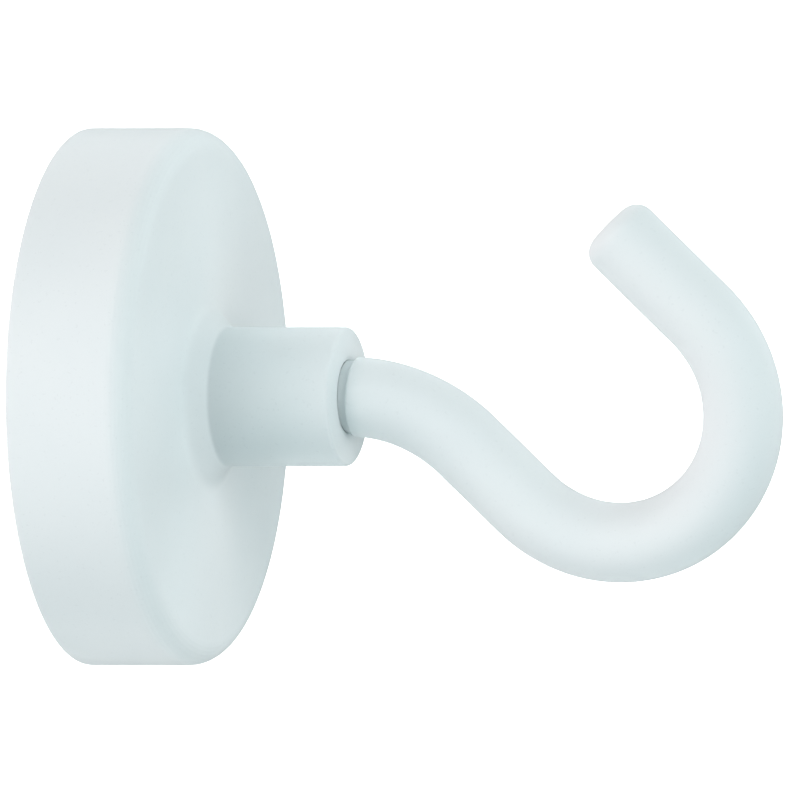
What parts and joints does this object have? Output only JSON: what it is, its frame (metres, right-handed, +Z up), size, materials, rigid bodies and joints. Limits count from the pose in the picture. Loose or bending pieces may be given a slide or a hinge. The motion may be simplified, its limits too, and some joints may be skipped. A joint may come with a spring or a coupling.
{
  "type": "magnetic hook",
  "caption": "Round pot magnet in a painted steel cup with a threaded neck and a screw-in open wire hook, for hanging light things on steel.",
  "frame": {"origin": "centre of the magnet's flat contact face, which is flush with the pot's rim", "axes": "+X along the thread's axis, away from the steel that the magnet grips; +Z up, the way the hook's mouth opens at rest; the hook's bends lie in the XZ plane at rest"},
  "size_m": [0.0431, 0.032, 0.032],
  "materials": {
    "painted_steel": "smooth satin white powder coat, bare ground steel at the rim",
    "painted_neck": "smooth satin white powder coat outside, bare zinc-plated thread inside",
    "nickel_plate": "bright nickel plate over sintered neodymium",
    "adhesive": "cured adhesive",
    "epoxy": "cured dark epoxy with a slight meniscus",
    "painted_wire": "smooth satin white powder coat, bare zinc-plated thread"
  },
  "bodies": {
    "magnet_base": {"steel_pot": "painted_steel", "threaded_neck": "painted_neck", "disc_magnet": "nickel_plate", "adhesive_film": "adhesive", "potting_ring": "epoxy"},
    "hook": {"hook": "painted_wire"}
  },
  "joints": [
    {"name": "hook_turn", "type": "hinge", "parent": "magnet_base", "child": "hook", "pos_m": [0.01619, 0, 0], "axis": [1, 0, 0], "range_deg": [-180, 180]}
  ]
}
